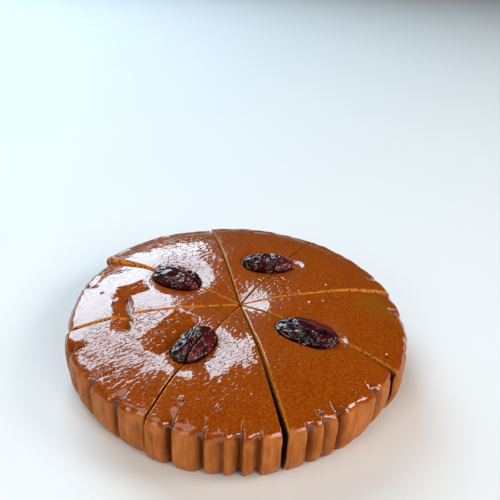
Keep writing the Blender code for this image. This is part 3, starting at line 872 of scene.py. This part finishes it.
def make_crumb_material():
    """Inside of the steamed cake: a moist, springy crumb full of small holes, tan under the
    skin. Its holes are painted dark as their shade, and it is painted darker further down and
    where a cut gets little light, as the shade deep in the narrow cuts."""
    material, tree, shader = start_material("steamed_crumb")
    place = add_node(tree, "ShaderNodeTexCoord").outputs["Object"]
    holes = add_node(
        tree, "ShaderNodeTexVoronoi", values={"Scale": 1.0 / CRUMB_PORE_SIZE}, links={"Vector": place})
    # The pores are painted near black: painted shade inside the holes.
    hollow = add_node(
        tree, "ShaderNodeMapRange", values={"From Min": 0.2, "From Max": 0.4},
        links={"Value": holes.outputs["Distance"]})
    colour = mix_colours(tree, hollow.outputs["Result"], linear("3E1A06"), linear("EC9630"))
    # Painted shade: the crumb turns nearly black lower down in a cut and where its edge's share of light is
    # low, standing in for the shade deep in the narrow cuts.
    height = add_node(tree, "ShaderNodeSeparateXYZ", links={"Vector": place}).outputs["Z"]
    near_top = add_node(
        tree, "ShaderNodeMapRange", values={"From Min": CRUMB_SHADED_BELOW, "From Max": CRUMB_LIT_ABOVE},
        links={"Value": height})
    light = add_node(tree, "ShaderNodeAttribute", {"attribute_name": "light"}).outputs["Fac"]
    lit = add_node(
        tree, "ShaderNodeMath", {"operation": "MULTIPLY"}, links={0: near_top.outputs["Result"], 1: light})
    colour = mix_colours(tree, lit.outputs["Value"], linear("301004"), colour)
    tree.links.new(colour, shader.inputs["Base Color"])
    bump = add_node(
        tree, "ShaderNodeBump", values={"Strength": 0.8, "Distance": CRUMB_PORE_DEPTH},
        links={"Height": hollow.outputs["Result"]})
    tree.links.new(bump.outputs["Normal"], shader.inputs["Normal"])
    shader.inputs["Roughness"].default_value = 0.5
    shader.inputs["Subsurface Weight"].default_value = 0.1
    shader.inputs["Subsurface Radius"].default_value = (1.0, 0.4, 0.1)
    shader.inputs["Subsurface Scale"].default_value = LIGHT_DEPTH
    return material


def make_date_material():
    """Dried date: a thin leathery skin, wet with syrup, maroon where light gets in and
    nearly black in its wrinkles."""
    material, tree, shader = start_material("syrupy_date_skin")
    place = add_node(tree, "ShaderNodeTexCoord").outputs["Object"]
    cloud = add_node(
        tree, "ShaderNodeTexNoise", values={"Scale": 1.0 / DATE_CLOUD_SIZE, "Detail": 3.0},
        links={"Vector": place})
    share = add_node(
        tree, "ShaderNodeMapRange", values={"From Min": 0.4, "From Max": 0.7},
        links={"Value": cloud.outputs["Fac"]})
    redness = add_node(tree, "ShaderNodeAttribute", {"attribute_name": "redness"}).outputs["Fac"]
    dark = mix_colours(tree, redness, linear("140204"), linear("380810"))
    light = mix_colours(tree, redness, linear("420810"), linear("741A1C"))
    colour = mix_colours(tree, share.outputs["Result"], dark, light)
    tree.links.new(colour, shader.inputs["Base Color"])
    crinkle = add_node(
        tree, "ShaderNodeTexNoise", values={"Scale": 1.0 / DATE_GRAIN_SIZE, "Detail": 2.0},
        links={"Vector": place})
    bump = add_node(
        tree, "ShaderNodeBump", values={"Strength": 0.1, "Distance": GRAIN_HEIGHT},
        links={"Height": crinkle.outputs["Fac"]})
    tree.links.new(bump.outputs["Normal"], shader.inputs["Normal"])
    shader.inputs["Roughness"].default_value = 0.4
    shader.inputs["Specular IOR Level"].default_value = 0.05
    shader.inputs["Coat IOR"].default_value = 1.5
    shader.inputs["IOR"].default_value = 1.5
    shader.inputs["Coat Weight"].default_value = 1.0
    shader.inputs["Coat Roughness"].default_value = 0.03
    return material


def make_flesh_material():
    """Inside of a dried date: sticky, fibrous reddish brown flesh."""
    material, tree, shader = start_material("date_flesh")
    place = add_node(tree, "ShaderNodeTexCoord").outputs["Object"]
    fibre = add_node(
        tree, "ShaderNodeTexNoise", values={"Scale": 1.0 / FLESH_FIBRE_SIZE, "Detail": 3.0},
        links={"Vector": place})
    colour = mix_colours(tree, fibre.outputs["Fac"], linear("26080A"), linear("6A2412"))
    tree.links.new(colour, shader.inputs["Base Color"])
    bump = add_node(
        tree, "ShaderNodeBump", values={"Strength": 0.5, "Distance": GRAIN_HEIGHT},
        links={"Height": fibre.outputs["Fac"]})
    tree.links.new(bump.outputs["Normal"], shader.inputs["Normal"])
    shader.inputs["Roughness"].default_value = 0.4
    return material


def make_floor():
    """A plain pale floor for the cake to stand on."""
    mesh = bmesh.new()
    bmesh.ops.create_grid(mesh, x_segments=1, y_segments=1, size=FLOOR_HALF_SIZE)
    data = bpy.data.meshes.new("floor")
    mesh.to_mesh(data)
    mesh.free()
    material, _, shader = start_material("pale_paper")
    shader.inputs["Base Color"].default_value = linear("DEE0E2")
    shader.inputs["Roughness"].default_value = 0.8
    data.materials.append(material)
    floor = bpy.data.objects.new("floor", data)
    bpy.context.scene.collection.objects.link(floor)


def add_area_light(name, centre, facing, width, height, radiance, hex_colour):
    """Add a soft rectangular light at a place, turned to face another."""
    light = bpy.data.lights.new(name, "AREA")
    light.shape = "RECTANGLE"
    light.size = width
    light.size_y = height
    light.energy = radiance * math.pi * width * height
    light.color = linear(hex_colour)[:3]
    lamp = bpy.data.objects.new(name, light)
    bpy.context.scene.collection.objects.link(lamp)
    lamp.location = centre
    lamp.rotation_euler = (Vector(centre) - Vector(facing)).to_track_quat("Z", "Y").to_euler()


def make_lights():
    """A tall window behind and to the left, soft boxes at the right and in front, a pale
    ceiling, and a dim room round them."""
    add_area_light("window_light", (-0.98, 1.4, 1.25), (-0.98, 0.0, 1.25), 1.7, 1.6, 8.3, "D0EEFF")
    add_area_light("right_box", (1.15, -0.1, 0.85), (0.0, 0.0, 0.0), 0.45, 0.45, 12.0, "FFF8F0")
    add_area_light("front_right_box", (0.85, -1.05, 0.8), (0.0, 0.0, 0.0), 0.7, 0.7, 8.0, "FFF4E8")
    add_area_light("front_left_box", (-0.85, -1.05, 0.8), (0.0, 0.0, 0.0), 0.7, 0.7, 4.5, "FFF4E8")
    add_area_light("ceiling_light", (-0.5, -0.35, 1.4), (0.0, 0.0, 0.0), 0.9, 0.9, 2.2, "FFF8F0")
    world = bpy.data.worlds.new("dim_room")
    world.use_nodes = True
    background = world.node_tree.nodes["Background"]
    background.inputs["Color"].default_value = linear("F4F2F0")
    background.inputs["Strength"].default_value = ROOM_LIGHT
    bpy.context.scene.world = world


def make_camera():
    """Look at the cake from the front, about forty degrees up."""
    camera = bpy.data.cameras.new("camera")
    camera.lens = LENS
    camera.sensor_width = SENSOR_WIDTH
    view = bpy.data.objects.new("camera", camera)
    bpy.context.scene.collection.objects.link(view)
    turned = Matrix((CAMERA_RIGHT, CAMERA_UP, -CAMERA_AHEAD)).transposed().to_4x4()
    turned.translation = CAMERA_PLACE
    view.matrix_world = turned
    bpy.context.scene.camera = view


def main():
    """Dress the cake."""
    bpy.context.scene.view_settings.view_transform = "Standard"
    make_camera()
    make_lights()
    make_floor()
    skin = make_skin_material()
    crumb = make_crumb_material()
    date_skin = make_date_material()
    flesh = make_flesh_material()
    for number in range(len(WEDGES)):
        make_wedge(number, skin, crumb)
    for number in range(len(DATES)):
        make_date_half(number, -1, date_skin, flesh)
        make_date_half(number, 1, date_skin, flesh)


main()
